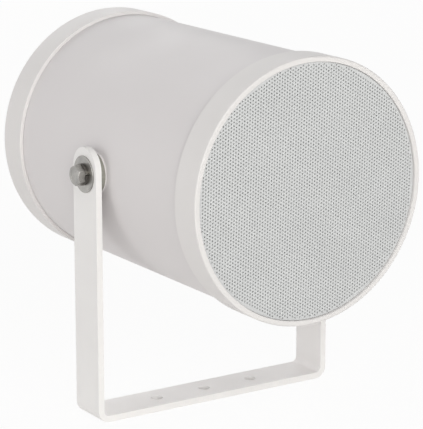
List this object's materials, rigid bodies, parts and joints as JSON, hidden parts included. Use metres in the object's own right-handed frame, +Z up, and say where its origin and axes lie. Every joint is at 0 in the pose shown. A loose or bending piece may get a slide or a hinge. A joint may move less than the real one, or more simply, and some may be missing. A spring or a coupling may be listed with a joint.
{
  "type": "bidirectional speaker",
  "caption": "White tube-shaped loudspeaker with a perforated round grille at each end, tilting on side bolts in a U-shaped flat bar bracket.",
  "frame": {"origin": "middle of the underside of the bracket base", "axes": "+Z up, X along the pivot bolts, -Y out of the front grille and +Y out of the rear one"},
  "size_m": [0.1628, 0.2, 0.2056],
  "materials": {
    "bracket_paint": "powder coat, satin white",
    "case_plastic": "moulded ABS, satin white",
    "cap_plastic": "moulded ABS, satin white",
    "grille_paint": "powder coat on perforated steel",
    "dust_cloth": "thin pale cloth",
    "foam": "closed cell foam",
    "plated_steel": "zinc plate",
    "cone_paper": "pressed paper",
    "dust_cap_cloth": "doped cloth",
    "surround_rubber": "matt rubber",
    "spider_cloth": "resin-dipped cotton",
    "coil_copper": "enamelled copper",
    "ferrite": "sintered, ground faces",
    "board": "paper laminate",
    "screw_steel": "zinc plate",
    "core_steel": "varnished laminations",
    "bobbin_nylon": "natural nylon",
    "grommet_rubber": "soft black rubber",
    "bolt_steel": "bright zinc plate",
    "spring_steel": "bright spring steel",
    "fibre": "grey vulcanised fibre",
    "brass": "turned and knurled"
  },
  "bodies": {
    "bracket": {"bracket": "bracket_paint"},
    "speaker": {"body_tube": "case_plastic", "front_cap": "cap_plastic", "rear_cap": "cap_plastic", "front_grille": "grille_paint", "rear_grille": "grille_paint", "front_cloth": "dust_cloth", "rear_cloth": "dust_cloth", "front_gasket": "foam", "rear_gasket": "foam", "front_basket": "plated_steel", "rear_basket": "plated_steel", "front_surround": "surround_rubber", "rear_surround": "surround_rubber", "front_spider": "spider_cloth", "rear_spider": "spider_cloth", "front_top_plate": "plated_steel", "rear_top_plate": "plated_steel", "front_magnet": "ferrite", "rear_magnet": "ferrite", "front_pole_plate": "plated_steel", "rear_pole_plate": "plated_steel", "front_terminals": "board", "rear_terminals": "board", "front_driver_screws": "screw_steel", "rear_driver_screws": "screw_steel", "transformer_core": "core_steel", "transformer_bobbin": "bobbin_nylon", "transformer_winding": "coil_copper", "transformer_strap": "plated_steel", "transformer_screws": "screw_steel", "terminal_block": "bobbin_nylon", "cable_grommet": "grommet_rubber", "pivot_bolts": "bolt_steel", "spring_washers": "spring_steel", "plain_washers": "bolt_steel", "pivot_pads": "fibre", "threaded_inserts": "brass"},
    "front_cone_unit": {"front_cone": "cone_paper", "front_dust_cap": "dust_cap_cloth", "front_voice_coil": "coil_copper"},
    "rear_cone_unit": {"rear_cone": "cone_paper", "rear_dust_cap": "dust_cap_cloth", "rear_voice_coil": "coil_copper"}
  },
  "joints": [
    {"name": "tilt", "type": "hinge", "parent": "bracket", "child": "speaker", "pos_m": [0, 0, 0.13557], "axis": [1, 0, 0], "range_deg": [-90, 90]},
    {"name": "front_cone_travel", "type": "slide", "parent": "speaker", "child": "front_cone_unit", "axis": [0, -1, 0], "range_m": [-0.0015, 0.0015], "stiffness_N_per_m": 800, "deforming": ["front_surround", "front_spider"]},
    {"name": "rear_cone_travel", "type": "slide", "parent": "speaker", "child": "rear_cone_unit", "axis": [0, 1, 0], "range_m": [-0.0015, 0.0015], "stiffness_N_per_m": 800, "deforming": ["rear_surround", "rear_spider"]}
  ]
}
